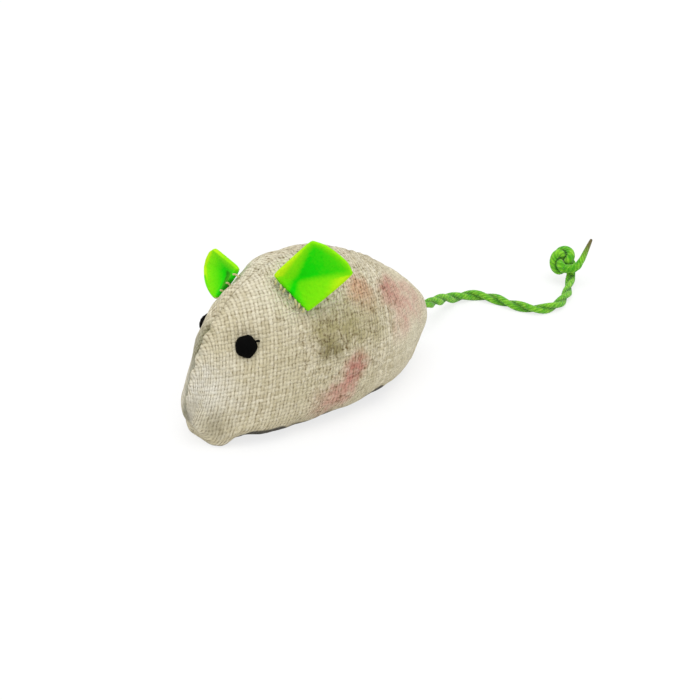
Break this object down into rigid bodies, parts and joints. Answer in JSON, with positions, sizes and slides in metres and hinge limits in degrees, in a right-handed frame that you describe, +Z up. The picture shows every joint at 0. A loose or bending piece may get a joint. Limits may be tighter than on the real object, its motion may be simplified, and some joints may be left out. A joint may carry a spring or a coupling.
{
  "type": "catnip mouse",
  "caption": "Stuffed cloth mouse for cats: woven panels sewn over fibre and a herb sachet, felt ears that flop, knotted thread eyes and a twisted cord tail with a knot.",
  "frame": {"origin": "on the floor under the middle of the body, the tail not counted", "axes": "+Y along the body from the nose to the tail, +Z up, +X towards the mouse's left side"},
  "size_m": [0.0451, 0.1628, 0.0546],
  "materials": {
    "body_cloth": "coarse basket weave of oatmeal yarn, faded pinkish patches",
    "seam_thread": "matte sewing thread",
    "ear_felt": "bright green felt with a short nap",
    "ear_thread": "pale lime sewing thread",
    "eye_thread": "black embroidery thread, wound and knotted",
    "fibre": "loose white filling fibre",
    "muslin": "thin unbleached cloth",
    "herb": "dried crumbled leaves",
    "tail_cord": "green cotton cord of twisted strands"
  },
  "bodies": {
    "body": {"left_side_panel": "body_cloth", "right_side_panel": "body_cloth", "base_panel": "body_cloth", "crown_seam_thread": "seam_thread", "left_base_seam_thread": "seam_thread", "right_base_seam_thread": "seam_thread", "left_ear_stitches": "ear_thread", "right_ear_stitches": "ear_thread", "left_eye": "eye_thread", "right_eye": "eye_thread", "nose_stuffing": "fibre", "rump_stuffing": "fibre", "catnip_pouch_left": "muslin", "catnip_pouch_right": "muslin", "dried_catnip": "herb", "tail_anchor_knot": "tail_cord"},
    "left_ear": {"left_ear": "ear_felt"},
    "right_ear": {"right_ear": "ear_felt"},
    "tail_root": {"tail_root": "tail_cord"},
    "tail": {"tail_cord": "tail_cord", "tail_knot": "tail_cord"}
  },
  "joints": [
    {"name": "left_ear_flop", "type": "hinge", "parent": "body", "child": "left_ear", "pos_m": [0.01049, -0.01365, 0.04017], "axis": [0.6548, 0.3343, -0.6778], "range_deg": [-10, 70], "stiffness_Nm_per_rad": 0.0002},
    {"name": "right_ear_flop", "type": "hinge", "parent": "body", "child": "right_ear", "pos_m": [-0.00811, -0.02217, 0.03893], "axis": [0.5758, 0.2079, 0.7907], "range_deg": [-10, 70], "stiffness_Nm_per_rad": 0.0002},
    {"name": "tail_swing", "type": "hinge", "parent": "body", "child": "tail_root", "pos_m": [0, 0.0443, 0.014], "axis": [0, 0, 1], "range_deg": [-75, 75]},
    {"name": "tail_lift", "type": "hinge", "parent": "tail_root", "child": "tail", "pos_m": [0, 0.0443, 0.014], "axis": [1, 0, 0], "range_deg": [0, 90]}
  ]
}
